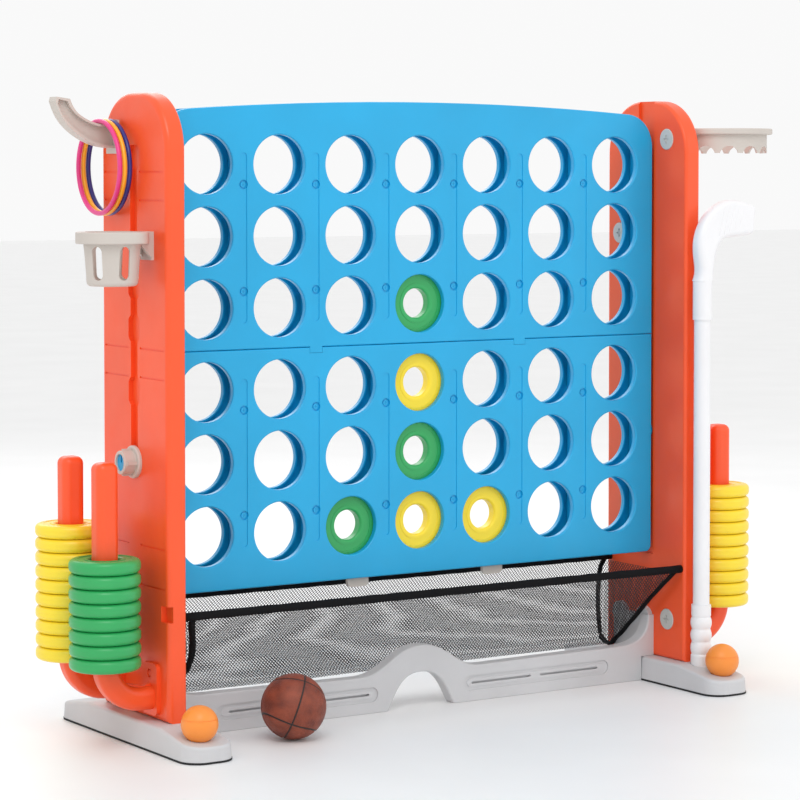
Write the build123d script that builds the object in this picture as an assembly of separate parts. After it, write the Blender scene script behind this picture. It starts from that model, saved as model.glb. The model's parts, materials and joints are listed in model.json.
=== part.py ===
from build123d import *
import math
import os

# Giant four in a row with side games. Millimetres, +Z up, +X along the board, -Y the front.
# The parts are drawn with x = 0 at the middle of the board. They are written MIDDLE_X further left,
# so that the origin is on the floor, at the middle of the overall length and depth.

# Board
PITCH_X = 140.0
COLUMNS = [-3 * PITCH_X + PITCH_X * i for i in range(7)]
GUIDES_X = [-2.5 * PITCH_X + PITCH_X * i for i in range(6)]
UPPER_ROWS = [943.5, 823.5, 703.5]
LOWER_ROWS = [566.5, 446.5, 326.5]
HOLE_R = 50.0
BOARD_HALF_X = 506.0
BOARD_BOTTOM = 235.0
BOARD_SHOULDER = 1031.0
BOARD_CROWN = 1051.0
SEAM_Z = 635.0
SEAM_GAP = 0.8
SKIN = 3.0
SHELL_DEPTH = 10.0
SLOT_HALF = 12.5
BOARD_FACE = SLOT_HALF + SHELL_DEPTH
GUIDE_WIDTH = 20.0
BOSS_OFFSETS = {"upper": (97.0, 275.0), "lower": (-277.0, -101.0)}
GROOVE_SPANS = {"upper": (44.0, 328.0), "lower": (-330.0, -49.0)}
GROOVE_WIDTH = 13.0
BOSS_R = 8.0
SCREW_R = 2.6
LATCHES_X = (-1.5 * PITCH_X, 1.5 * PITCH_X)

# Release gate
GATE_LIFT = 6.0
GATE_STOP = 9.0
GATE_TOP = 267.0
GATE_TAB_Z = 219.0
GATE_TAB_X = {-1: -120.0, 1: 160.0}

# Rings
RING_R = 58.0
RING_BORE_R = 25.5
RING_THICK = 22.0
RING_PITCH = 22.4
BOARD_RINGS = {
    "board_ring_green_low": (-PITCH_X, LOWER_ROWS[2]),
    "board_ring_yellow_low": (0.0, LOWER_ROWS[2]),
    "board_ring_yellow_side": (PITCH_X, LOWER_ROWS[2]),
    "board_ring_green_mid": (0.0, LOWER_ROWS[1]),
    "board_ring_yellow_mid": (0.0, LOWER_ROWS[0]),
    "board_ring_green_top": (0.0, UPPER_ROWS[2]),
}

# Towers
TOWER_INNER_X = 509.0
TOWER_SPLIT_X = 526.0
TOWER_OUTER_X = 543.0
TOWER_HALF_Y = 116.0
TOWER_BASE = 43.0
TOWER_TOP = 1059.5
TOWER_CORNER_R = 95.0
CHANNEL_HALF = 12.0
CHANNEL_SPAN = (470.0, 975.0)
POCKET_HALF = 20.0
POCKET_SPANS = [(935.0, 975.0), (725.0, 768.0), (654.0, 697.0), (550.0, 595.0)]
BAND_GROOVES = [931.0, 885.0, 644.0, 597.0, 323.0, 259.0]
LOCK_Z = 457.0
SCREW_SPOTS = [(-60.0, 990.0), (80.0, 818.0), (-66.0, 115.0)]
CAP_R = 19.0

# Base
FOOT_X = 526.0
FOOT_HALF_X = 45.0
FOOT_HALF_Y = 238.0
FOOT_HEIGHT = 43.0
FOOT_END_HEIGHT = 26.0
SOLE = 3.0
BAR_FRONT = -27.0
BAR_DEPTH = 24.0
BAR_TOP = 66.0
HUMP_TOP = 109.0
ARCH_R = 60.0

# Net and rods
ROD_Y = 106.0
ROD_Z = 212.0
ROD_R = 4.0
NET_HALF_X = 496.0
NET_SKIN = 2.5

# Posts and their stacks
POST_X = 629.0
POST_Y = 62.0
POST_TOP = 466.0
POST_HALF = 19.0
ARM_Z = 80.0
ELBOW_R = 60.0
STACK_BASE = 133.0
STACKS = {
    "left_front": (-1, -1, 8),
    "left_rear": (-1, 1, 10),
    "right_front": (1, -1, 10),
    "right_rear": (1, 1, 8),
}

# Balls
GOLF_R = 30.0
GOLF_Y = 198.0
BASKETBALL_R = 54.0
BASKETBALL_XY = (-325.0, -141.0)

# Ring toss, cup holder, hoop
HOOK_Y = 69.0
TOSS_R = 80.0
TOSS_WIRE_R = 4.0
TOSS_X = {"pink": -571.0, "yellow": -562.0, "navy": -553.0}
HOOK_TOP = 1009.0
HOOK_ROOT = -TOWER_OUTER_X
CUP_X = -608.0
CUP_Y = -52.0
CUP_TOP = 835.0
CUP_RIM_R = 59.0
HOOP_X = 640.0
HOOP_Y = -57.0
HOOP_TOP = 1010.0
HOOP_RIM_R = 92.0

# Golf club
CLUB_X = 530.0
CLUB_Y = -139.0
SHAFT_R = 15.0
GRIP_TOP = 150.0
HEAD_BASE = 735.0

# Middle of the overall length, measured from the middle of the board
MIDDLE_X = (HOOP_X + HOOP_RIM_R - POST_X - RING_R) / 2

os.makedirs("parts", exist_ok=True)


def write(name, shape):
    """Write one sub-part; several solids become one group of separate solids."""
    pieces = shape if isinstance(shape, list) else [shape]
    solids = [Pos(-MIDDLE_X, 0, 0) * solid for piece in pieces for solid in piece.solids()]
    export_step(solids[0] if len(solids) == 1 else Compound(children=solids), f"parts/{name}.step")


def box(x0, x1, y0, y1, z0, z1):
    """An axis-aligned box between two corners."""
    centre = Vector((x0 + x1) / 2, (y0 + y1) / 2, (z0 + z1) / 2)
    return Location(centre) * Box(abs(x1 - x0), abs(y1 - y0), abs(z1 - z0))


def rod_between(start, end, radius):
    """A plain round bar from one point to another."""
    direction = Vector(*end) - Vector(*start)
    plane = Plane(origin=start, z_dir=direction)
    return extrude(plane * Circle(radius), direction.length)


def edges_at(shape, axis, position, tolerance=0.01):
    """Edges lying in the plane where the given axis has the given value."""
    return shape.edges().filter_by_position(axis, position - tolerance, position + tolerance)


# ---------------------------------------------------------------- board

def panel_outline(z0, z1):
    """Front view of one board panel in the XZ plane; the upper one has the arched top."""
    half = BOARD_HALF_X
    if z1 > SEAM_Z + 1:
        outline = Polyline((-half, BOARD_SHOULDER), (-half, z0), (half, z0), (half, BOARD_SHOULDER))
        crown = ThreePointArc((half, BOARD_SHOULDER), (0, BOARD_CROWN), (-half, BOARD_SHOULDER))
        face = make_face(outline + crown)
        return fillet(face.vertices().group_by(Axis.Y)[-1], 58)
    face = Pos(0, (z0 + z1) / 2) * Rectangle(2 * half, z1 - z0)
    return fillet(face.vertices().group_by(Axis.Y)[0], 12)


def in_front_view(sketch, y):
    """Place an XZ sketch at depth y; a negative extrusion goes towards the back."""
    return Plane(origin=(0, y, 0), x_dir=(1, 0, 0), z_dir=(0, -1, 0)) * sketch


def front_shell(half_name):
    """Half-board front shell: skin, rim wall, a collar round each hole, bosses, grooves and latches."""
    upper = half_name == "upper"
    z0 = SEAM_Z + SEAM_GAP / 2 if upper else BOARD_BOTTOM
    z1 = BOARD_CROWN if upper else SEAM_Z - SEAM_GAP / 2
    rows = UPPER_ROWS if upper else LOWER_ROWS
    outline = panel_outline(z0, z1)
    shell = extrude(in_front_view(outline, -BOARD_FACE), -SHELL_DEPTH)
    shell = fillet(edges_at(shell, Axis.Y, -BOARD_FACE), 2.5)
    cavity = offset(outline, -SKIN, kind=Kind.INTERSECTION)
    holes = [(x, z) for x in COLUMNS for z in rows]
    for x, z in holes:
        cavity -= Pos(x, z) * Circle(HOLE_R + SKIN)
    bosses = [(x, SEAM_Z + dz) for x in GUIDES_X for dz in BOSS_OFFSETS[half_name]]
    for x, z in bosses:
        cavity -= Pos(x, z) * Circle(BOSS_R + SKIN)
    shell -= extrude(in_front_view(cavity, -BOARD_FACE + SKIN), -SHELL_DEPTH)
    cut = Sketch() + [Pos(x, z) * Circle(HOLE_R) for x, z in holes]
    shell -= extrude(in_front_view(cut, -BOARD_FACE), -SHELL_DEPTH)
    rims = [e for e in edges_at(shell, Axis.Y, -BOARD_FACE).filter_by(GeomType.CIRCLE)
            if abs(e.radius - HOLE_R) < 0.1]
    shell = fillet(rims, 2.5)
    low, high = GROOVE_SPANS[half_name]
    for x in GUIDES_X:
        groove = Pos(x, SEAM_Z + (low + high) / 2) * SlotOverall(high - low, GROOVE_WIDTH, 90)
        shell -= extrude(in_front_view(groove, -BOARD_FACE), -1.2)
    for x, z in bosses:
        shell -= extrude(in_front_view(Pos(x, z) * Circle(BOSS_R), -BOARD_FACE), -4)
        shell -= extrude(in_front_view(Pos(x, z) * Circle(SCREW_R + 0.2), -BOARD_FACE), -SHELL_DEPTH)
    for x in LATCHES_X:
        if upper:
            shell += box(x - 12, x + 12, -BOARD_FACE, -SLOT_HALF, SEAM_Z - 9.5, SEAM_Z + 3)
        else:
            shell -= box(x - 12.5, x + 12.5, -BOARD_FACE - 1, -SLOT_HALF + 1, SEAM_Z - 10, SEAM_Z)
    return shell


def guides(half_name):
    """Column guides between the shells, and the closed ends of the board."""
    upper = half_name == "upper"
    z0 = SEAM_Z + SEAM_GAP / 2 if upper else BOARD_BOTTOM + 42
    z1 = 1012 if upper else SEAM_Z - SEAM_GAP / 2
    half = GUIDE_WIDTH / 2
    pieces = []
    for x in GUIDES_X:
        bar = box(x - half, x + half, -SLOT_HALF, SLOT_HALF, z0, z1)
        if upper:
            top = edges_at(bar, Axis.Z, z1).filter_by(Axis.Y)
            bar = fillet(top, half - 0.5)
        for dz in BOSS_OFFSETS[half_name]:
            hole = Cylinder(SCREW_R + 0.2, 60, rotation=(90, 0, 0))
            bar -= Pos(x, 0, SEAM_Z + dz) * hole
        pieces.append(bar)
    for side in (-1, 1):
        pieces.append(box(side * 481, side * 500, -SLOT_HALF, SLOT_HALF, z0, 975 if upper else z1))
    return pieces


def panel_screws(half_name):
    """Long screws that clamp front shell, guide and back shell; one pan head each."""
    pieces = []
    for x in GUIDES_X:
        for dz in BOSS_OFFSETS[half_name]:
            plane = Plane(origin=(x, -BOARD_FACE + 4, SEAM_Z + dz), z_dir=(0, -1, 0))
            screw = extrude(plane * Circle(4.6), 1.8)
            screw += extrude(plane * Circle(SCREW_R), -36)
            screw -= extrude(plane.offset(1.0) * Rectangle(5.5, 1.1), 2)
            screw -= extrude(plane.offset(1.0) * Rectangle(1.1, 5.5), 2)
            pieces.append(screw)
    return pieces


def build_board():
    """Both halves of the board; the back shells are the front shells turned round."""
    turn = Rotation(0, 0, 180)
    for half_name in ("upper", "lower"):
        shell = front_shell(half_name)
        write(f"{half_name}_front_panel", shell)
        write(f"{half_name}_back_panel", turn * shell)
        write(f"{half_name}_column_guides", guides(half_name))
        write(f"{half_name}_panel_screws", panel_screws(half_name))


# ---------------------------------------------------------------- release gate

def release_gate(side):
    """One half of the ring gate: a slotted tray with a stop under each column and a pull tab below."""
    z0 = BOARD_BOTTOM + 4
    half_y = SLOT_HALF - 0.5
    inner, outer = 4.0, COLUMNS[-1] + GATE_STOP
    tray = box(inner, outer, -half_y, half_y, z0, z0 + GATE_LIFT)
    for x in (0.0, PITCH_X, 2 * PITCH_X):
        tray -= box(x + 16, x + PITCH_X - 16, -8, 8, z0 - 1, z0 + GATE_LIFT + 1)
    for x in (0.0, PITCH_X, 2 * PITCH_X, 3 * PITCH_X):
        tray += box(max(x - GATE_STOP, inner), x + GATE_STOP, -half_y, half_y, z0, GATE_TOP)
    tray = mirror(tray, Plane.YZ) if side < 0 else tray
    tab_x = GATE_TAB_X[side]
    tab = box(tab_x - 21, tab_x + 21, 1 - SLOT_HALF, 7 - SLOT_HALF, GATE_TAB_Z, z0 + 1)
    return tray + fillet(edges_at(tab, Axis.Z, GATE_TAB_Z).filter_by(Axis.Y), 8)


# ---------------------------------------------------------------- towers

def tower_face(inset=0.0):
    """Side view of a tower, drawn with x across the tower and y up."""
    height = TOWER_TOP - TOWER_BASE - 2 * inset
    face = Pos(0, (TOWER_TOP + TOWER_BASE) / 2) * Rectangle(2 * (TOWER_HALF_Y - inset), height)
    return fillet(face.vertices().group_by(Axis.Y)[-1], TOWER_CORNER_R - inset)


def in_side_view(sketch, x):
    """Place a sketch in the YZ plane at the given x; extruding goes towards +X."""
    return Plane(origin=(x, 0, 0), x_dir=(0, 1, 0), z_dir=(1, 0, 0)) * sketch


def channel_sketch(grow=0.0):
    """Vertical hanging channel with its wider pockets."""
    low, high = CHANNEL_SPAN
    sketch = Pos(0, (low + high) / 2) * SlotOverall(high - low + 2 * grow, 2 * (CHANNEL_HALF + grow), 90)
    for z0, z1 in POCKET_SPANS:
        pocket = Pos(0, (z0 + z1) / 2) * Rectangle(2 * (POCKET_HALF + grow), z1 - z0 + 2 * grow)
        sketch += chamfer(pocket.vertices(), 7)
    return sketch


def tower_outer_shell():
    """Outer shell of the right tower: tray with the hanging channel and the moulded bands."""
    shell = extrude(in_side_view(tower_face(), TOWER_SPLIT_X), TOWER_OUTER_X - TOWER_SPLIT_X)
    shell = fillet(edges_at(shell, Axis.X, TOWER_OUTER_X), 9)
    cavity = tower_face(SKIN) - channel_sketch(SKIN)
    cavity -= Pos(0, LOCK_Z) * Circle(30)
    cavity -= Pos(0, 219) * (Rectangle(240, 40) - Rectangle(168, 50))
    shell -= extrude(in_side_view(cavity, TOWER_SPLIT_X), 13.5)
    shell -= extrude(in_side_view(channel_sketch(), TOWER_OUTER_X), -8)
    for z in BAND_GROOVES:
        for side in (-1, 1):
            inner_y, outer_y = side * (CHANNEL_HALF + 8), side * 104
            shell -= box(TOWER_OUTER_X - 1.6, TOWER_OUTER_X + 1, inner_y, outer_y, z - 1.5, z + 1.5)
    for side in (-1, 1):
        shell -= box(TOWER_OUTER_X - 9, TOWER_OUTER_X + 1, side * 92, side * 120, 206, 232)
        seat_start = (TOWER_SPLIT_X - 1, side * ROD_Y, ROD_Z)
        shell -= rod_between(seat_start, (TOWER_SPLIT_X + 4, side * ROD_Y, ROD_Z), ROD_R + 0.4)
    shell -= rod_between((TOWER_SPLIT_X - 1, 0, LOCK_Z), (TOWER_OUTER_X + 1, 0, LOCK_Z), 14.3)
    return shell


def tower_inner_shell():
    """Inner shell of the right tower: tray with the open channel for the board and screw seats."""
    shell = extrude(in_side_view(tower_face(), TOWER_INNER_X), TOWER_SPLIT_X - TOWER_INNER_X)
    shell = fillet(edges_at(shell, Axis.X, TOWER_INNER_X), 6)
    seat_zone = Pos(0, 650) * Rectangle(2 * BOARD_FACE + 8, 900)
    cavity = tower_face(SKIN) - seat_zone
    for y, z in SCREW_SPOTS:
        cavity -= Pos(y, z) * Circle(CAP_R + 3)
    shell -= extrude(in_side_view(cavity, TOWER_INNER_X + SKIN), 20)
    slot_y = BOARD_FACE + 0.5
    shell -= box(TOWER_INNER_X - 1, TOWER_INNER_X + 5, -slot_y, slot_y, 230, TOWER_TOP + 1)
    for y, z in SCREW_SPOTS:
        shell -= rod_between((TOWER_INNER_X - 1, y, z), (TOWER_INNER_X + 5, y, z), CAP_R + 0.4)
        shell -= rod_between((TOWER_INNER_X - 1, y, z), (TOWER_SPLIT_X + 1, y, z), 5.3)
    for side in (-1, 1):
        seat_start = (TOWER_INNER_X - 1, side * ROD_Y, ROD_Z)
        shell -= rod_between(seat_start, (TOWER_SPLIT_X + 1, side * ROD_Y, ROD_Z), ROD_R + 0.4)
    shell -= rod_between((TOWER_INNER_X - 1, 0, LOCK_Z), (TOWER_SPLIT_X + 1, 0, LOCK_Z), 14.3)
    return shell


def cap_screws():
    """Large cross-slot cap screws that close the tower from its inner face."""
    pieces = []
    for y, z in SCREW_SPOTS:
        plane = Plane(origin=(TOWER_INNER_X + 4.5, y, z), z_dir=(-1, 0, 0))
        cap = extrude(plane * Circle(CAP_R), 6.0)
        cap = fillet(edges_at(cap, Axis.X, TOWER_INNER_X - 1.5), 1.5)
        cap += extrude(plane * Circle(5), -10)
        for wide, tall in ((15, 3.2), (3.2, 15)):
            cap -= extrude(plane.offset(4.0) * Rectangle(wide, tall), 3)
        pieces.append(cap)
    return pieces


def lock_stud():
    """Threaded stud that comes out of the board end through the tower."""
    start = TOWER_INNER_X - 3
    stud = rod_between((start, 0, LOCK_Z), (TOWER_OUTER_X + 24, 0, LOCK_Z), 14)
    stud -= box(TOWER_OUTER_X + 18, TOWER_OUTER_X + 25, -2.5, 2.5, LOCK_Z, LOCK_Z + 15)
    return stud


def lock_nut():
    """Flanged tubular nut that turns on the stud and clamps the board end."""
    base = TOWER_OUTER_X + 0.1
    plane = Plane(origin=(base, 0, LOCK_Z), z_dir=(1, 0, 0))
    nut = extrude(plane * Circle(27), 6)
    nut = fillet(edges_at(nut, Axis.X, base + 6), 2.5)
    nut += extrude(plane * Circle(19.5), 27)
    nut = fillet(edges_at(nut, Axis.X, base + 27), 1.5)
    for angle in range(0, 360, 90):
        rib = Rotation(angle, 0, 0) * box(0, 22, 18, 22, -3, 3)
        nut += Pos(base, 0, LOCK_Z) * rib
    nut -= extrude(plane * Circle(14.06), 40)
    return nut


def build_towers():
    """The right tower, and the left one as the same parts turned round."""
    right = {
        "tower_outer_shell": tower_outer_shell(),
        "tower_inner_shell": tower_inner_shell(),
        "cap_screws": cap_screws(),
        "lock_stud": lock_stud(),
        "lock_nut": lock_nut(),
    }
    turn = Rotation(0, 0, 180)
    for name, shape in right.items():
        write(f"right_{name}", shape)
        turned = [turn * piece for piece in shape] if isinstance(shape, list) else turn * shape
        write(f"left_{name}", turned)


# ---------------------------------------------------------------- base

def foot():
    """Right foot: long low block with round ends, lower at the ends, dimpled for a ball."""
    plan = RectangleRounded(2 * FOOT_HALF_X, 2 * FOOT_HALF_Y, 34)
    block = Pos(FOOT_X, 0, SOLE) * extrude(plan, FOOT_HEIGHT - SOLE, taper=4)
    end_y = FOOT_HALF_Y + 5
    side = Polyline((-end_y, SOLE - 1), (-end_y, FOOT_END_HEIGHT), (-128, FOOT_HEIGHT), (128, FOOT_HEIGHT),
                    (end_y, FOOT_END_HEIGHT), (end_y, SOLE - 1), close=True)
    block &= extrude(in_side_view(make_face(side), FOOT_X - 80), 160)
    upper = block.edges().filter_by(lambda e: e.center().Z > FOOT_END_HEIGHT - 3 and e.length > 20)
    upper = upper.filter_by(lambda e: abs(abs(e.center().X - FOOT_X)) > 5 or abs(e.center().Y) > 200)
    block = fillet(upper, 6)
    block -= Pos(FOOT_X + 5, -GOLF_Y, 56.5) * Sphere(GOLF_R + 0.6)
    block -= rod_between((CLUB_X, CLUB_Y, 34), (CLUB_X, CLUB_Y, 60), SHAFT_R + 4.4)
    return block


def sole():
    """Dark rubber sole under a foot."""
    return Pos(FOOT_X, 0, 0) * extrude(RectangleRounded(2 * FOOT_HALF_X + 1, 2 * FOOT_HALF_Y + 1, 34), SOLE)


def crossbar():
    """Crossbar with the golf arch in the middle and an upright flange against each tower."""
    end = FOOT_X - FOOT_HALF_X - 0.5
    face_x = TOWER_INNER_X
    foot_top = FOOT_HEIGHT + 0.5
    lower = Polyline((ARCH_R + 8, 0), (end, 0), (end, foot_top), (face_x, foot_top), (face_x, 118),
                     (face_x - 12, 118))
    rise = Spline((face_x - 12, 118), (425, BAR_TOP), tangents=[(0, -1.2), (-1.2, 0)])
    flat = Line((425, BAR_TOP), (128, BAR_TOP - 3))
    hump = Spline((128, BAR_TOP - 3), (0, HUMP_TOP), tangents=[(-1, 0), (-1, 0)])
    arch = Spline((0, 62), (ARCH_R + 8, 0), tangents=[(1.3, 0), (0.6, -1)])
    outline = make_face(lower + rise + flat + hump + Line((0, HUMP_TOP), (0, 62)) + arch)
    bar = extrude(in_front_view(outline, BAR_FRONT), -BAR_DEPTH)
    centred = [(e, e.center()) for e in edges_at(bar, Axis.Y, BAR_FRONT)]
    rounded = [e for e, c in centred if 1 < c.X < face_x - 15 and (c.Z > 55 or c.X < 60)]
    bar = fillet(rounded, 3)
    bar -= extrude(in_front_view(Pos(247, 32) * SlotOverall(316, 26), BAR_FRONT), -2.5)
    bar += extrude(in_front_view(Pos(247, 32) * SlotOverall(300, 14), BAR_FRONT + 2.6), 1.2)
    for x in (170, 318):
        bar -= extrude(in_front_view(Pos(x, 32) * SlotOverall(128, 4), BAR_FRONT), -8)
    lobes = Pos(-4, 112) * Circle(20) + Pos(66, 112) * Circle(20) + Pos(31, 92) * Rectangle(66, 50)
    lobes += Pos(30, 72) * Rectangle(104, 56)
    flange = extrude(in_side_view(lobes, face_x - 9), 8.9)
    return bar + mirror(bar, Plane.YZ) + flange + Rotation(0, 0, 180) * flange


def foot_without_socket():
    """The left foot has no club socket."""
    plug = rod_between((CLUB_X, CLUB_Y, 30), (CLUB_X, CLUB_Y, FOOT_HEIGHT), SHAFT_R + 6)
    block = foot() + plug
    side = Polyline((-FOOT_HALF_Y, FOOT_END_HEIGHT), (-128, FOOT_HEIGHT), (-128, 60), (-FOOT_HALF_Y, 60),
                    close=True)
    return block - extrude(in_side_view(make_face(side), FOOT_X - 80), 160)


def build_base():
    """Two feet on their soles, and the crossbar between them."""
    write("right_foot", foot())
    write("right_foot_sole", sole())
    write("left_foot", mirror(foot_without_socket(), Plane.YZ))
    write("left_foot_sole", mirror(sole(), Plane.YZ))
    write("base_crossbar", crossbar())


# ---------------------------------------------------------------- net

def net_section(inset=0.0):
    """Side view of the net: front wall down from the rod, round pocket, upright rear wall."""
    points = [(-ROD_Y, 207.8), (-18, 129), (58, 62), (88, 46), (116, 60), (126, 120), (121, 180),
              (109, 207.5)]
    inward = [(0.8, 0.0), (0.7, 0.8), (0.6, 0.9), (0, 1), (-1, 0.5), (-1, 0), (-1, 0), (-1, 0)]
    return [(y + inset * dy, z + inset * dz) for (y, z), (dy, dz) in zip(points, inward)]


def catch_net():
    """Net pocket as a thin closed skin, open at the top."""
    outside = net_section()
    inside = net_section(NET_SKIN)
    ring = Spline(*outside) + Line(outside[-1], inside[-1])
    ring += Spline(*inside[::-1]) + Line(inside[0], outside[0])
    wall = extrude(in_side_view(make_face(ring), -NET_HALF_X), 2 * NET_HALF_X)
    end_face = make_face(Spline(*inside) + Line(inside[-1], inside[0]))
    for x in (-NET_HALF_X, NET_HALF_X - NET_SKIN):
        wall += extrude(in_side_view(end_face, x), NET_SKIN)
    return wall


def net_rod(side):
    """Steel rod that holds one long edge of the net between the towers."""
    end_x = TOWER_SPLIT_X + 3
    return rod_between((-end_x, side * ROD_Y, ROD_Z), (end_x, side * ROD_Y, ROD_Z), ROD_R)


# ---------------------------------------------------------------- storage posts

def post():
    """Right storage post: pad on the tower, level arm, quarter bend, upright with a round top."""
    section = RectangleRounded(2 * POST_HALF, 2 * POST_HALF, 13)
    bend_x = POST_X - ELBOW_R
    arm_start = Plane(origin=(TOWER_OUTER_X, 0, ARM_Z), z_dir=(1, 0, 0))
    arm = extrude(arm_start * section, bend_x - TOWER_OUTER_X)
    axis = Axis((bend_x, 0, ARM_Z + ELBOW_R), (0, -1, 0))
    arm += revolve(Plane(origin=(bend_x, 0, ARM_Z), z_dir=(1, 0, 0)) * section, axis, 90)
    upright = extrude(Plane(origin=(POST_X, 0, ARM_Z + ELBOW_R)) * section, POST_TOP - ARM_Z - ELBOW_R)
    upright = fillet(edges_at(upright, Axis.Z, POST_TOP), 12)
    arm += upright
    web = Polyline((TOWER_OUTER_X, ARM_Z), (POST_X - 30, ARM_Z + 10), (POST_X - 24, ARM_Z + 30),
                   (TOWER_OUTER_X + 20, 100), (TOWER_OUTER_X, 106), close=True)
    arm += extrude(in_front_view(make_face(web), -5), -10)
    arm += extrude(in_side_view(Pos(0, ARM_Z + 14) * RectangleRounded(52, 84, 10), TOWER_OUTER_X), 7)
    arm -= rod_between((TOWER_OUTER_X + 3, 0, 119), (TOWER_OUTER_X + 10, 0, 119), 7)
    return arm + rod_between((TOWER_OUTER_X + 2, 0, 119), (TOWER_OUTER_X + 6, 0, 119), 4.5)


def game_ring():
    """One game ring lying flat, its underside at z = 0, with a ring of dimples on both faces."""
    profile = Pos((RING_R + RING_BORE_R) / 2, RING_THICK / 2) * Rectangle(RING_R - RING_BORE_R, RING_THICK)
    outer = profile.vertices().group_by(Axis.X)[-1]
    profile = fillet(outer, 8.5)
    inner = profile.vertices().group_by(Axis.X)[0]
    profile = fillet(inner, 5)
    body = revolve(Plane.XZ * profile, Axis.Z)
    for z, direction in ((0, 1), (RING_THICK, -1)):
        groove = Pos(0, 0, z) * (Cylinder(44, 1.6) - Cylinder(34, 3))
        body -= groove
        for k in range(24):
            angle = math.radians(15 * k)
            body -= Pos(47.5 * math.cos(angle), 47.5 * math.sin(angle), z) * Cylinder(1.3, 1.4)
    return body


def ring_stack(ring, side_x, side_y, count):
    """Rings threaded on one post."""
    return [Pos(side_x * POST_X, side_y * POST_Y, STACK_BASE + k * RING_PITCH) * ring for k in range(count)]


def build_rings_and_posts():
    """Four storage posts with their stacks, and the rings dropped in the board."""
    ring = game_ring()
    front_post = Pos(0, -POST_Y, 0) * post()
    for name, (side_x, side_y, count) in STACKS.items():
        shape = front_post if side_y < 0 else Pos(0, 2 * POST_Y, 0) * front_post
        shape = shape if side_x > 0 else mirror(shape, Plane.YZ)
        write(f"{name}_post", shape)
        write(f"{name}_ring_stack", ring_stack(ring, side_x, side_y, count))
    for name, (x, z) in BOARD_RINGS.items():
        standing = Pos(x, 0, z) * Rotation(90, 0, 0) * Pos(0, 0, -RING_THICK / 2) * ring
        write(name, standing)


# ---------------------------------------------------------------- ring toss, cup holder, hoop

def hook_outline(inset):
    """Side view of the hook, or of the panel sunk into it at the given inset."""
    i = inset
    lower = Spline((HOOK_ROOT - i, 970 + i), (-594 + 0.4 * i, 980 + i), (-636 + 0.8 * i, 1010 + 0.6 * i),
                   (-655 + i, 1046 - i), tangents=[(-1, 0), (-0.35, 1)])
    tip = Polyline((-655 + i, 1046 - i), (-653 + i, 1053 - i), (-629 - i, 1050 - i))
    upper = Spline((-629 - i, 1050 - i), (-612 - 0.8 * i, 1025 - 0.6 * i), (-578, HOOK_TOP + 1 - i),
                   (HOOK_ROOT - i, HOOK_TOP - i), tangents=[(0.35, -1), (1, 0)])
    return make_face(lower + tip + upper + Line((HOOK_ROOT - i, HOOK_TOP - i), (HOOK_ROOT - i, 970 + i)))


def ring_hook():
    """Upturned hook for the toss rings: flanged bar that leaves the left tower."""
    bar = extrude(in_front_view(hook_outline(0), HOOK_Y), 13, both=True)
    for y in (HOOK_Y - 14, HOOK_Y + 4):
        bar -= extrude(in_front_view(hook_outline(4), y), -10)
    return bar + box(HOOK_ROOT - 5, HOOK_ROOT, HOOK_Y - 19, HOOK_Y + 19, 961, 1017)


def toss_ring(x):
    """Thin round hoop hanging on the hook, its plane square to the hook."""
    centre_z = HOOK_TOP + 1.6 - TOSS_R + 2 * TOSS_WIRE_R
    return Pos(x, HOOK_Y, centre_z) * Rotation(0, 90, 0) * Torus(TOSS_R - TOSS_WIRE_R, TOSS_WIRE_R)


def cup_holder():
    """Round rim, tapered basket with six round-ended slots, and a gusset to the tower."""
    rim = Pos(CUP_X, CUP_Y, CUP_TOP - 19) * extrude(Circle(CUP_RIM_R), 19)
    rim = fillet(rim.edges().filter_by(GeomType.CIRCLE), 2)
    centre = Pos(CUP_X, CUP_Y, CUP_TOP)
    basket = loft([centre * Pos(0, 0, -87) * Circle(41), centre * Pos(0, 0, -10) * Circle(47)])
    basket = fillet(edges_at(basket, Axis.Z, CUP_TOP - 87), 7)
    body = rim + basket
    block = box(CUP_X + 40, -TOWER_OUTER_X, CUP_Y - 19, CUP_Y + 19, CUP_TOP - 17, CUP_TOP - 1)
    gusset = Polyline((-TOWER_OUTER_X, CUP_TOP - 46), (-TOWER_OUTER_X, CUP_TOP - 10),
                      (-TOWER_OUTER_X - 34, CUP_TOP - 10), close=True)
    body += block
    for offset_y in (-19, 11):
        body += extrude(in_front_view(make_face(gusset), CUP_Y + offset_y), -8)
    body += box(-TOWER_OUTER_X - 5, -TOWER_OUTER_X, CUP_Y - 19, CUP_Y + 19, CUP_TOP - 46, CUP_TOP)
    body -= loft([centre * Pos(0, 0, -83) * Circle(38), centre * Pos(0, 0, 1) * Circle(44.5)])
    for k in range(6):
        slot_face = Pos(0, CUP_TOP - 50) * SlotOverall(54, 18, 90)
        cutter = extrude(in_side_view(slot_face, 25), 40)
        body -= Pos(CUP_X, CUP_Y, 0) * Rotation(0, 0, 60 * k + 30) * cutter
    return body


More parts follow.
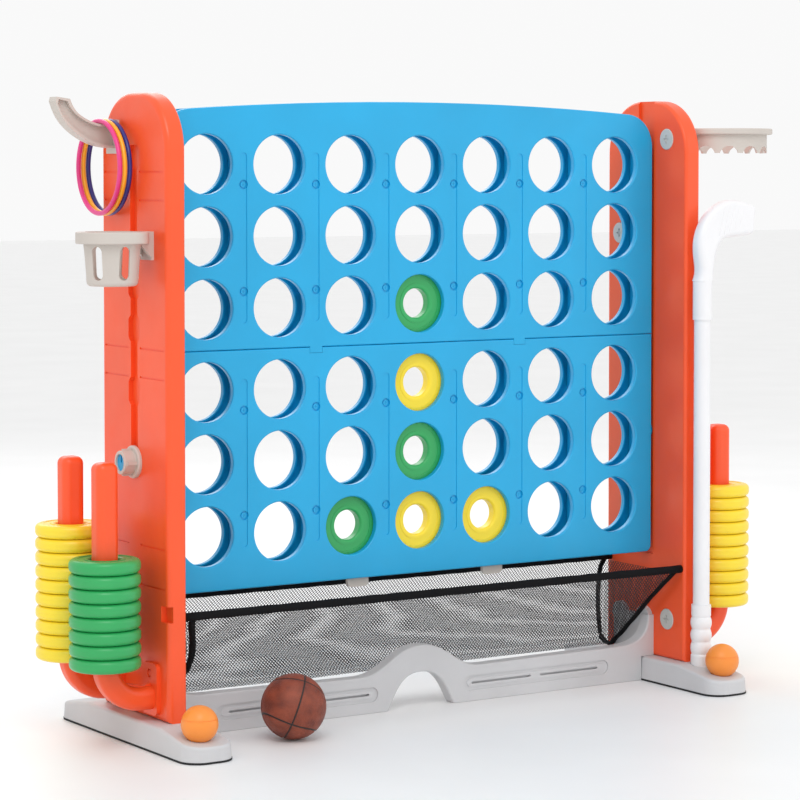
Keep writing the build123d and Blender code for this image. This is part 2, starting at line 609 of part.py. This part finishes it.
def ball_hoop():
    """Basketball hoop: flat rim, scalloped skirt, and a bracket to the right tower."""
    rim = extrude(Circle(HOOP_RIM_R), 11) - extrude(Circle(76), 11)
    rim = fillet(rim.edges().filter_by(GeomType.CIRCLE), 2.5)
    skirt = extrude(Circle(82), -34) - extrude(Circle(78), -34)
    for k in range(12):
        cutter = Rotation(0, 0, 30 * k) * Pos(80, 0, -38) * Cylinder(17, 30, rotation=(0, 90, 0))
        skirt -= cutter
    hoop = Pos(HOOP_X, HOOP_Y, HOOP_TOP - 11) * (rim + skirt)
    bracket = box(TOWER_OUTER_X, HOOP_X - 70, HOOP_Y - 30, HOOP_Y + 30, HOOP_TOP - 12, HOOP_TOP - 1)
    bracket = fillet(edges_at(bracket, Axis.Z, HOOP_TOP - 1).filter_by(Axis.X), 3)
    clear = Pos(HOOP_X, HOOP_Y, HOOP_TOP - 20) * Cylinder(77, 60)
    bracket -= clear
    pad = Pos(HOOP_Y, HOOP_TOP - 22) * RectangleRounded(60, 46, 7)
    plate = extrude(in_side_view(pad, TOWER_OUTER_X), 6)
    gusset = Polyline((TOWER_OUTER_X, HOOP_TOP - 42), (TOWER_OUTER_X, HOOP_TOP - 8),
                      (TOWER_OUTER_X + 20, HOOP_TOP - 8), close=True)
    hoop += bracket + plate
    for offset_y in (-26, 20):
        hoop += extrude(in_front_view(make_face(gusset), HOOP_Y + offset_y), -6)
    return hoop


# ---------------------------------------------------------------- golf club

def club_grip():
    """Ribbed grip sleeve at the lower end, standing in the foot socket."""
    points = [(SHAFT_R + 0.05, 36), (SHAFT_R + 3.6, 36), (SHAFT_R + 3.6, 58), (SHAFT_R + 1.8, 61)]
    spans = [(61, 82), (84, 105), (107, 128)]
    outline = Polyline(*points)
    for low, high in spans:
        middle = (low + high) / 2
        outline += ThreePointArc((SHAFT_R + 1.8, low), (SHAFT_R + 4.2, middle), (SHAFT_R + 1.8, high))
        outline += Line((SHAFT_R + 1.8, high), (SHAFT_R + 1.8, high + 2))
    outline += Polyline((SHAFT_R + 1.8, 130), (SHAFT_R + 2.8, 130), (SHAFT_R + 2.8, GRIP_TOP),
                        (SHAFT_R + 0.05, GRIP_TOP), (SHAFT_R + 0.05, 36))
    return Pos(CLUB_X, CLUB_Y, 0) * revolve(Plane.XZ * make_face(outline), Axis.Z)


def club_shaft():
    """Hollow plastic tube from the foot socket to the head."""
    tube = rod_between((CLUB_X, CLUB_Y, 36), (CLUB_X, CLUB_Y, HEAD_BASE), SHAFT_R)
    tube -= rod_between((CLUB_X, CLUB_Y, 36), (CLUB_X, CLUB_Y, HEAD_BASE), SHAFT_R - 3)
    return tube


def club_head():
    """Hockey-style head: socket over the shaft, neck that sweeps sideways into a grooved blade."""
    base = (0, 0, HEAD_BASE - 70)
    socket = extrude(Plane(origin=base) * Circle(SHAFT_R + 2.5), 70)
    socket -= extrude(Plane(origin=base) * Circle(SHAFT_R + 0.05), 70)
    stations = [
        ((0, 0, HEAD_BASE), 0, 36, 34),
        ((3, 0, HEAD_BASE + 45), 8, 40, 32),
        ((14, 0, HEAD_BASE + 84), 30, 54, 28),
        ((42, 0, HEAD_BASE + 107), 62, 66, 25),
        ((78, 0, HEAD_BASE + 112), 84, 66, 24),
        ((113, 0, HEAD_BASE + 109), 96, 52, 22),
    ]
    faces = []
    for position, lean, wide, thick in stations:
        angle = math.radians(lean)
        plane = Plane(origin=position, x_dir=(0, 1, 0), z_dir=(math.sin(angle), 0, math.cos(angle)))
        faces.append(plane * RectangleRounded(thick, wide, min(thick, wide) * 0.42))
    blade = loft(faces)
    end_edges = blade.faces().sort_by(Axis.X)[-1].edges()
    blade = fillet(end_edges, 5)
    head = socket + blade
    for k in range(7):
        x = 38 + 11 * k
        for y in (-14.5, 14.5):
            head -= rod_between((x - 10, y, HEAD_BASE + 80), (x + 6, y, HEAD_BASE + 140), 2.8)
    return Pos(CLUB_X, CLUB_Y, 0) * head


# ---------------------------------------------------------------- balls

def golf_ball(side):
    """Plastic practice ball with a shallow moulded seam."""
    ball = Sphere(GOLF_R) - Pos(0, 0, 9) * (Cylinder(GOLF_R + 2, 1.2) - Cylinder(28.0, 1.2))
    return Pos(side * (FOOT_X + 5), -GOLF_Y, 56.5) * ball


def basketball():
    """Ball lying on the floor, with its seam channels."""
    ball = Sphere(BASKETBALL_R)
    groove = Torus(BASKETBALL_R + 0.4, 1.5)
    ball -= groove
    ball -= Rotation(90, 0, 0) * groove
    return Pos(*BASKETBALL_XY, BASKETBALL_R) * Rotation(20, 25, 40) * ball


# ---------------------------------------------------------------- all parts

build_board()
build_towers()
build_base()
build_rings_and_posts()
for gate_side, gate_name in ((-1, "left"), (1, "right")):
    write(f"{gate_name}_release_gate", release_gate(gate_side))
write("front_net_rod", net_rod(-1))
write("rear_net_rod", net_rod(1))
write("catch_net", catch_net())
write("ring_hook", ring_hook())
for colour, ring_x in TOSS_X.items():
    write(f"toss_ring_{colour}", toss_ring(ring_x))
write("cup_holder", cup_holder())
write("ball_hoop", ball_hoop())
write("club_shaft", club_shaft())
write("club_grip", club_grip())
write("club_head", club_head())
write("left_golf_ball", golf_ball(-1))
write("right_golf_ball", golf_ball(1))
write("basketball", basketball())
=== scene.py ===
import json
import math

import bmesh
import bpy
from mathutils import Euler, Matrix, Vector, noise


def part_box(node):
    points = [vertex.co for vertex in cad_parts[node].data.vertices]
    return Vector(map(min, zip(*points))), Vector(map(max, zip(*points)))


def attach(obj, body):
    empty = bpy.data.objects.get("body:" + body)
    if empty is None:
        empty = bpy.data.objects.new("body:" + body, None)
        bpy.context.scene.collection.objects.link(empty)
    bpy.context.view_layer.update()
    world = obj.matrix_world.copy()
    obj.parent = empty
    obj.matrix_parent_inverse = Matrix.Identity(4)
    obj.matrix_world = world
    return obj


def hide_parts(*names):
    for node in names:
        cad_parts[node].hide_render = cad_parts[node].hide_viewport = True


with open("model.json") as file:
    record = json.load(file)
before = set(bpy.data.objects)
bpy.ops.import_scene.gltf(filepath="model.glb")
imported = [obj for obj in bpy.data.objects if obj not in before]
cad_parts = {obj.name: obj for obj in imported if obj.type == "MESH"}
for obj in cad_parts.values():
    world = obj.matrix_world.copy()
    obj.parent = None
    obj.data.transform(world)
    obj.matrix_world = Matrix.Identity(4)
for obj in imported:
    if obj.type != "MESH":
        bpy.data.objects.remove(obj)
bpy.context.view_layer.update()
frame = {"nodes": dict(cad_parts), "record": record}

nodes = frame["nodes"]


# ---------------------------------------------------------------- materials

def new_material(name):
    """An empty node material with a Principled shader; returns material, nodes, links, shader."""
    material = bpy.data.materials.new(name)
    material.use_nodes = True
    tree = material.node_tree
    return material, tree.nodes, tree.links, tree.nodes["Principled BSDF"]


def noise_node(tree_nodes, links, coords, scale, detail=3.0):
    """A noise texture on object coordinates."""
    node = tree_nodes.new("ShaderNodeTexNoise")
    node.inputs["Scale"].default_value = scale
    node.inputs["Detail"].default_value = detail
    links.new(coords, node.inputs["Vector"])
    return node


def ramp_node(tree_nodes, links, value, low, high):
    """Maps a 0..1 value to the span between two colours or grey levels."""
    node = tree_nodes.new("ShaderNodeValToRGB")
    node.color_ramp.elements[0].position = 0.3
    node.color_ramp.elements[1].position = 0.7
    node.color_ramp.elements[0].color = low
    node.color_ramp.elements[1].color = high
    links.new(value, node.inputs["Fac"])
    return node


def linear(rgb):
    """sRGB 0..255 to linear 0..1, with alpha."""
    out = [((c / 255 + 0.055) / 1.055) ** 2.4 if c > 10 else c / 3295 for c in rgb]
    return (*out, 1.0)


def shade(colour, factor):
    """A lighter or darker version of a linear colour."""
    return (*[min(1.0, c * factor) for c in colour[:3]], 1.0)


def plastic(name, rgb, rough=0.32, grain=900.0, bump=0.06, mottle=0.05, coat=0.15):
    """Moulded plastic: faint colour flow marks, uneven gloss, fine grain and long moulding waves."""
    material, tree_nodes, links, shader = new_material(name)
    coords = tree_nodes.new("ShaderNodeTexCoord").outputs["Object"]
    colour = linear(rgb)
    flow = noise_node(tree_nodes, links, coords, 7.0, 5.0)
    dark, light = shade(colour, 1 - mottle), shade(colour, 1 + mottle)
    tint = ramp_node(tree_nodes, links, flow.outputs["Fac"], dark, light)
    links.new(tint.outputs["Color"], shader.inputs["Base Color"])
    smudge = noise_node(tree_nodes, links, coords, 23.0, 4.0)
    low = (rough - 0.05,) * 3 + (1.0,)
    high = (rough + 0.08,) * 3 + (1.0,)
    gloss = ramp_node(tree_nodes, links, smudge.outputs["Fac"], low, high)
    links.new(gloss.outputs["Color"], shader.inputs["Roughness"])
    fine = noise_node(tree_nodes, links, coords, grain, 2.0)
    waves = noise_node(tree_nodes, links, coords, 14.0, 1.0)
    grain_bump = tree_nodes.new("ShaderNodeBump")
    grain_bump.inputs["Strength"].default_value = bump
    grain_bump.inputs["Distance"].default_value = 0.0006
    links.new(fine.outputs["Fac"], grain_bump.inputs["Height"])
    wave_bump = tree_nodes.new("ShaderNodeBump")
    wave_bump.inputs["Strength"].default_value = 0.12
    wave_bump.inputs["Distance"].default_value = 0.002
    links.new(waves.outputs["Fac"], wave_bump.inputs["Height"])
    links.new(grain_bump.outputs["Normal"], wave_bump.inputs["Normal"])
    links.new(wave_bump.outputs["Normal"], shader.inputs["Normal"])
    shader.inputs["Coat Weight"].default_value = coat
    shader.inputs["Coat Roughness"].default_value = 0.25
    shader.inputs["IOR"].default_value = 1.5
    return material


def steel():
    """Brushed rod: streaks along its length."""
    material, tree_nodes, links, shader = new_material("rod_steel")
    coords = tree_nodes.new("ShaderNodeTexCoord").outputs["Object"]
    mapping = tree_nodes.new("ShaderNodeMapping")
    mapping.inputs["Scale"].default_value = (3, 400, 400)
    links.new(coords, mapping.inputs["Vector"])
    streaks = noise_node(tree_nodes, links, mapping.outputs["Vector"], 4.0)
    dark, light = (0.3, 0.3, 0.31, 1), (0.6, 0.6, 0.62, 1)
    tint = ramp_node(tree_nodes, links, streaks.outputs["Fac"], dark, light)
    links.new(tint.outputs["Color"], shader.inputs["Base Color"])
    shader.inputs["Metallic"].default_value = 1.0
    shader.inputs["Roughness"].default_value = 0.35
    return material


def webbing(name):
    """Black woven tape: fine crossed ribs."""
    material, tree_nodes, links, shader = new_material(name)
    coords = tree_nodes.new("ShaderNodeTexCoord").outputs["Object"]
    weave = tree_nodes.new("ShaderNodeTexChecker")
    weave.inputs["Scale"].default_value = 900.0
    links.new(coords, weave.inputs["Vector"])
    weave.inputs["Color1"].default_value = (0.004, 0.004, 0.005, 1)
    weave.inputs["Color2"].default_value = (0.014, 0.014, 0.015, 1)
    links.new(weave.outputs["Color"], shader.inputs["Base Color"])
    bump = tree_nodes.new("ShaderNodeBump")
    bump.inputs["Strength"].default_value = 0.4
    bump.inputs["Distance"].default_value = 0.0005
    links.new(weave.outputs["Fac"], bump.inputs["Height"])
    links.new(bump.outputs["Normal"], shader.inputs["Normal"])
    shader.inputs["Roughness"].default_value = 0.85
    shader.inputs["Specular IOR Level"].default_value = 0.1
    return material


def math_node(tree_nodes, links, operation, *values):
    """A Math node; each value is a socket or a number."""
    node = tree_nodes.new("ShaderNodeMath")
    node.operation = operation
    for index, value in enumerate(values):
        if isinstance(value, (int, float)):
            node.inputs[index].default_value = value
        else:
            links.new(value, node.inputs[index])
    return node.outputs[0]


# Distance between strands of one family, and the share of it that a strand takes
NET_PITCH = 0.0062
STRAND_SHARE = 0.27


def mesh_fabric():
    """Black diamond netting: strands where either diagonal family runs, clear between them."""
    material, tree_nodes, links, shader = new_material("net_mesh")
    uv = tree_nodes.new("ShaderNodeUVMap")
    uv.uv_map = "flat"
    split = tree_nodes.new("ShaderNodeSeparateXYZ")
    links.new(uv.outputs["UV"], split.inputs["Vector"])
    across, along = split.outputs["X"], split.outputs["Y"]
    strands = []
    for operation in ("ADD", "SUBTRACT"):
        diagonal = math_node(tree_nodes, links, operation, across, along)
        scaled = math_node(tree_nodes, links, "MULTIPLY", diagonal, 1 / NET_PITCH)
        part = math_node(tree_nodes, links, "FRACT", scaled)
        strands.append(math_node(tree_nodes, links, "LESS_THAN", part, STRAND_SHARE))
    alpha = math_node(tree_nodes, links, "MAXIMUM", *strands)
    links.new(alpha, shader.inputs["Alpha"])
    coords = tree_nodes.new("ShaderNodeTexCoord").outputs["Object"]
    speck = noise_node(tree_nodes, links, coords, 500.0)
    dark, light = (0.008, 0.008, 0.009, 1), (0.03, 0.03, 0.032, 1)
    tint = ramp_node(tree_nodes, links, speck.outputs["Fac"], dark, light)
    links.new(tint.outputs["Color"], shader.inputs["Base Color"])
    shader.inputs["Roughness"].default_value = 0.7
    return material


def ball_leather():
    """Basketball rubber: brown with fine pebbles, black in the seam channels."""
    material, tree_nodes, links, shader = new_material("basketball_rubber")
    coords = tree_nodes.new("ShaderNodeTexCoord").outputs["Object"]
    patches = noise_node(tree_nodes, links, coords, 40.0)
    dark, light = linear((104, 42, 26)), linear((150, 70, 45))
    tint = ramp_node(tree_nodes, links, patches.outputs["Fac"], dark, light)
    seam = tree_nodes.new("ShaderNodeAttribute")
    seam.attribute_name = "seam"
    mix = tree_nodes.new("ShaderNodeMix")
    mix.data_type = "RGBA"
    links.new(seam.outputs["Fac"], mix.inputs["Factor"])
    links.new(tint.outputs["Color"], mix.inputs["A"])
    mix.inputs["B"].default_value = (0.01, 0.009, 0.009, 1)
    links.new(mix.outputs["Result"], shader.inputs["Base Color"])
    pebbles = tree_nodes.new("ShaderNodeTexVoronoi")
    pebbles.inputs["Scale"].default_value = 420.0
    links.new(coords, pebbles.inputs["Vector"])
    bump = tree_nodes.new("ShaderNodeBump")
    bump.inputs["Strength"].default_value = 0.5
    bump.inputs["Distance"].default_value = 0.0012
    bump.invert = True
    links.new(pebbles.outputs["Distance"], bump.inputs["Height"])
    links.new(bump.outputs["Normal"], shader.inputs["Normal"])
    shader.inputs["Roughness"].default_value = 0.5
    return material


SLOT_MATERIALS = {
    "orange_plastic": plastic("orange_plastic_look", (250, 86, 34), 0.36),
    "blue_plastic": plastic("blue_plastic_look", (14, 168, 222), 0.36),
    "base_plastic": plastic("base_plastic_look", (205, 205, 207), 0.5, bump=0.15, coat=0.0),
    "beige_plastic": plastic("beige_plastic_look", (206, 198, 190), 0.48, bump=0.12, coat=0.0),
    "green_plastic": plastic("green_plastic_look", (44, 168, 92), 0.33, mottle=0.06),
    "yellow_plastic": plastic("yellow_plastic_look", (250, 222, 52), 0.33, mottle=0.04),
    "ball_orange": plastic("ball_orange_look", (252, 148, 56), 0.42, bump=0.15),
    "white_plastic": plastic("white_plastic_look", (240, 240, 242), 0.34, mottle=0.02),
    "pink_plastic": plastic("pink_plastic_look", (232, 62, 140), 0.3),
    "amber_plastic": plastic("amber_plastic_look", (250, 184, 40), 0.3),
    "navy_plastic": plastic("navy_plastic_look", (44, 48, 136), 0.3),
    "screw_grey": plastic("screw_grey_look", (196, 196, 192), 0.5, bump=0.2, coat=0.0),
    "sole_rubber": plastic("sole_rubber_look", (32, 32, 34), 0.8, 500, bump=0.4, mottle=0.2, coat=0.0),
    "steel": steel(),
}


def dress_cad_nodes():
    """Gives every visible CAD node the detailed look of its material slot."""
    for part in frame["record"]["subparts"]:
        look = SLOT_MATERIALS.get(part["material_slot"])
        node = nodes[part["node"]]
        if look is None:
            continue
        for material_slot in node.material_slots:
            material_slot.link = "OBJECT"
            material_slot.material = look


# ---------------------------------------------------------------- catch net

def add_mesh(name, verts, faces, material):
    """A smooth mesh object from vertices and faces, riding on the frame."""
    mesh = bpy.data.meshes.new(name)
    mesh.from_pydata(verts, [], faces)
    mesh.validate()
    for polygon in mesh.polygons:
        polygon.use_smooth = True
    obj = bpy.data.objects.new(name, mesh)
    bpy.context.scene.collection.objects.link(obj)
    mesh.materials.append(material)
    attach(obj, "frame")
    return obj


def smooth_path(points, per_span):
    """Catmull-Rom points through a few control points."""
    extended = [2 * points[0] - points[1], *points, 2 * points[-1] - points[-2]]
    path = []
    for a, b, c, d in zip(extended, extended[1:], extended[2:], extended[3:]):
        for k in range(per_span):
            t = k / per_span
            path.append(0.5 * (2 * b + (c - a) * t + (2 * a - 5 * b + 4 * c - d) * t * t
                               + (3 * b - a - 3 * c + d) * t ** 3))
    path.append(points[-1])
    return path


NET_LOW, NET_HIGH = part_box("catch_net")
ROD_LOW, ROD_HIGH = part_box("front_net_rod")
ROD_Y, ROD_Z = (ROD_LOW.y + ROD_HIGH.y) / 2, (ROD_LOW.z + ROD_HIGH.z) / 2
MID_X = (NET_LOW.x + NET_HIGH.x) / 2
NET_HALF = (NET_HIGH.x - NET_LOW.x) / 2 - 0.002
HEM_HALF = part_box("right_tower_inner_shell")[0].x - MID_X - 0.0005
POCKET_BOTTOM = Vector((0.087, 0.049))
SEWN_Z = ROD_Z - 0.005
FRONT_WALL = [Vector((ROD_Y, SEWN_Z)), Vector((-0.018, 0.132)), Vector((0.058, 0.066)), POCKET_BOTTOM]
REAR_WALL = [POCKET_BOTTOM, Vector((0.114, 0.062)), Vector((0.124, 0.12)), Vector((0.119, 0.18)),
             Vector((-ROD_Y, SEWN_Z))]
DRAW_IN = {-1: 0.055, 1: 0.006}
SAG = 0.004
RIPPLE = 0.0016
LONG_COLUMNS = 60
END_ROWS = 24
END_COLUMNS = 8
TAPE_R = 0.0056
END_SCALE = 0.82
HEM_R = 0.0070


def end_x(side, share):
    """X of the net's end, which is drawn in between the rod and the pocket, most of all at the left."""
    return MID_X + side * (NET_HALF - DRAW_IN[side] * math.sin(math.pi * share) ** 1.2)


def wall_grid(path, drawn):
    """Rows of points of one long wall; each row runs from the left end to the right end."""
    rows = []
    count = len(path) - 1
    for index, point in enumerate(path):
        share = index / count if drawn else 0.0
        left, right = end_x(-1, share), end_x(1, share)
        row = []
        for k in range(LONG_COLUMNS + 1):
            t = k / LONG_COLUMNS
            x = left + (right - left) * t
            sag = SAG * math.sin(math.pi * t) * math.sin(math.pi * index / count)
            wave = RIPPLE * noise.noise(Vector((x * 9, index * 0.35, 3.7 if drawn else 8.1)))
            row.append(Vector((x, point.x + wave, point.y - sag + wave)))
        rows.append(row)
    return rows


def grid_faces(rows, columns, start):
    """Quads of a grid whose first vertex has index start."""
    width = columns + 1
    return [(start + r * width + c, start + r * width + c + 1, start + (r + 1) * width + c + 1,
             start + (r + 1) * width + c) for r in range(rows) for c in range(columns)]


def build_net():
    """The netting: front wall, rear wall and two end panels, with flat coordinates for the mesh pattern."""
    front = smooth_path(FRONT_WALL, 10)
    rear = smooth_path(REAR_WALL, 8)
    verts, faces, flat = [], [], []
    length = 0.0
    seam_edges = {}
    for drawn, path in ((True, front), (False, rear)):
        rows = wall_grid(path, drawn)
        faces += grid_faces(len(rows) - 1, LONG_COLUMNS, len(verts))
        for index, row in enumerate(rows):
            if index:
                length += (row[0].yz - rows[index - 1][0].yz).length
            verts += row
            flat += [(point.x, length) for point in row]
        seam_edges[drawn] = {-1: [row[0] for row in rows], 1: [row[-1] for row in rows]}
    for side in (-1, 1):
        front_edge = seam_edges[True][side]
        rear_edge = seam_edges[False][side][::-1]
        start = len(verts)
        for k in range(END_ROWS + 1):
            a = front_edge[round(k / END_ROWS * (len(front_edge) - 1))]
            b = rear_edge[round(k / END_ROWS * (len(rear_edge) - 1))]
            for j in range(END_COLUMNS + 1):
                point = a.lerp(b, j / END_COLUMNS)
                verts.append(point)
                flat.append((point.y * END_SCALE, point.z * END_SCALE))
        faces += grid_faces(END_ROWS, END_COLUMNS, start)
    net = add_mesh("net_fabric", verts, faces, mesh_fabric())
    layer = net.data.uv_layers.new(name="flat")
    for loop in net.data.loops:
        layer.data[loop.index].uv = flat[loop.vertex_index]
    tape_look = webbing("net_tape")
    for side, word in ((-1, "left"), (1, "right")):
        route = seam_edges[True][side] + seam_edges[False][side][1:]
        add_tube(f"net_{word}_tape", route, TAPE_R, tape_look, flatten=0.6)
    for word, y in (("front", ROD_Y), ("rear", -ROD_Y)):
        route = [Vector((MID_X + HEM_HALF * (k / 20 - 1), y, ROD_Z)) for k in range(41)]
        add_tube(f"net_{word}_hem", route, HEM_R, tape_look, ribbed=0.0004)
    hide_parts("catch_net")


TUBE_SIDES = 12


def add_tube(name, route, radius, material, flatten=1.0, ribbed=0.0):
    """A closed tube along a route of points, slightly flattened or gathered into ribs."""
    bm = bmesh.new()
    rings = []
    last = len(route) - 1
    for index, point in enumerate(route):
        direction = (route[min(index + 1, last)] - route[max(index - 1, 0)]).normalized()
        helper = Vector((0, 0, 1)) if abs(direction.z) < 0.9 else Vector((1, 0, 0))
        side = direction.cross(helper).normalized()
        up = side.cross(direction)
        grow = radius + ribbed * math.sin(index * 2.4)
        ring = []
        for k in range(TUBE_SIDES):
            angle = 2 * math.pi * k / TUBE_SIDES
            across, upward = side * grow * math.cos(angle), up * grow * flatten * math.sin(angle)
            ring.append(bm.verts.new(point + across + upward))
        rings.append(ring)
    for a, b in zip(rings, rings[1:]):
        for k in range(TUBE_SIDES):
            after = (k + 1) % TUBE_SIDES
            bm.faces.new((a[k], a[after], b[after], b[k]))
    bm.faces.new(rings[0][::-1])
    bm.faces.new(rings[-1])
    bmesh.ops.recalc_face_normals(bm, faces=bm.faces)
    mesh = bpy.data.meshes.new(name)
    bm.to_mesh(mesh)
    bm.free()
    for polygon in mesh.polygons:
        polygon.use_smooth = len(polygon.vertices) == 4
    obj = bpy.data.objects.new(name, mesh)
    bpy.context.scene.collection.objects.link(obj)
    mesh.materials.append(material)
    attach(obj, "frame")
    return obj


# ---------------------------------------------------------------- basketball

SEAM_HALF = 0.030
SEAM_EDGE = 0.012
SEAM_SINK = 0.0011
BALL_TURN = Euler((math.radians(70), math.radians(20), math.radians(-25)))


def seam_depth(direction):
    """0 on the ball's panels, 1 in a seam channel, for a unit direction from the centre."""
    x, y, z = direction
    curve = 0.52 + 0.34 * z * z
    distance = min(abs(x), abs(z), abs(abs(y) - curve) * 0.85)
    return max(0.0, min(1.0, (SEAM_HALF - distance) / SEAM_EDGE))


def build_basketball():
    """The ball with two great-circle seams, two curved seams and pebbled panels."""
    low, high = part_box("basketball")
    centre = (low + high) / 2
    radius = (high.z - low.z) / 2
    turn = BALL_TURN.to_matrix()
    bm = bmesh.new()
    bmesh.ops.create_icosphere(bm, subdivisions=7, radius=1.0)
    depths = []
    for vert in bm.verts:
        direction = vert.co.normalized()
        depth = seam_depth(direction)
        depths.append(depth)
        vert.co = centre + turn @ direction * (radius - SEAM_SINK * depth)
    mesh = bpy.data.meshes.new("basketball_skin")
    bm.to_mesh(mesh)
    bm.free()
    layer = mesh.attributes.new("seam", "FLOAT", "POINT")
    for item, depth in zip(layer.data, depths):
        item.value = depth
    for polygon in mesh.polygons:
        polygon.use_smooth = True
    mesh.materials.append(ball_leather())
    ball = bpy.data.objects.new("basketball_skin", mesh)
    bpy.context.scene.collection.objects.link(ball)
    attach(ball, "ball")
    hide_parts("basketball")


# ---------------------------------------------------------------- studio

SENSOR_MM = 36.0
LENS_MM = 124.8
SHIFT_Y = -0.1405
TILT = math.radians(2.4)
YAW = math.radians(32.62)
BOARD_LOW, BOARD_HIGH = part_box("upper_front_panel")
CAMERA_AT = ((BOARD_LOW.x + BOARD_HIGH.x) / 2 - 2.6152, -4.0436, 0.9318)
FLOOR_SIZE = 60
FLOOR_Z = -0.0005


def add_light(name, location, target, size, power):
    """A square soft light that looks at a target."""
    light = bpy.data.lights.new(name, "AREA")
    light.size = size
    light.energy = power
    obj = bpy.data.objects.new(name, light)
    obj.location = location
    obj.rotation_euler = (Vector(target) - Vector(location)).to_track_quat("-Z", "Y").to_euler()
    bpy.context.scene.collection.objects.link(obj)


def build_studio():
    """Pale floor, soft light, and the camera at the front left."""
    material, tree_nodes, links, shader = new_material("floor")
    coords = tree_nodes.new("ShaderNodeTexCoord").outputs["Object"]
    grain = noise_node(tree_nodes, links, coords, 3.0)
    dark, light = (0.90, 0.90, 0.90, 1), (0.93, 0.93, 0.93, 1)
    tint = ramp_node(tree_nodes, links, grain.outputs["Fac"], dark, light)
    links.new(tint.outputs["Color"], shader.inputs["Base Color"])
    shader.inputs["Roughness"].default_value = 0.45
    bpy.ops.mesh.primitive_plane_add(size=FLOOR_SIZE, location=(0, 0, FLOOR_Z))
    floor = bpy.context.object
    floor.name = "floor"
    floor.data.materials.append(material)

    world = bpy.data.worlds.new("studio")
    bpy.context.scene.world = world
    world.use_nodes = True
    background = world.node_tree.nodes["Background"]
    background.inputs["Color"].default_value = (1, 1, 1, 1)
    background.inputs["Strength"].default_value = 0.95
    add_light("key", (-1.6, -2.4, 3.6), (0, 0, 0.4), 1.8, 38)
    add_light("fill", (3.0, -2.8, 1.8), (0, 0, 0.5), 2.5, 8)
    add_light("back", (0.5, 3.0, 2.8), (0, 0, 0.3), 2.5, 34)

    camera_data = bpy.data.cameras.new("camera")
    camera_data.sensor_width = SENSOR_MM
    camera_data.lens = LENS_MM
    camera_data.shift_y = SHIFT_Y
    camera = bpy.data.objects.new("camera", camera_data)
    camera.location = CAMERA_AT
    camera.rotation_euler = (math.pi / 2 - TILT, 0, -YAW)
    bpy.context.scene.collection.objects.link(camera)
    bpy.context.scene.camera = camera
    bpy.context.scene.view_settings.view_transform = "Standard"


# ---------------------------------------------------------------- whole scene

dress_cad_nodes()
build_net()
build_basketball()
build_studio()
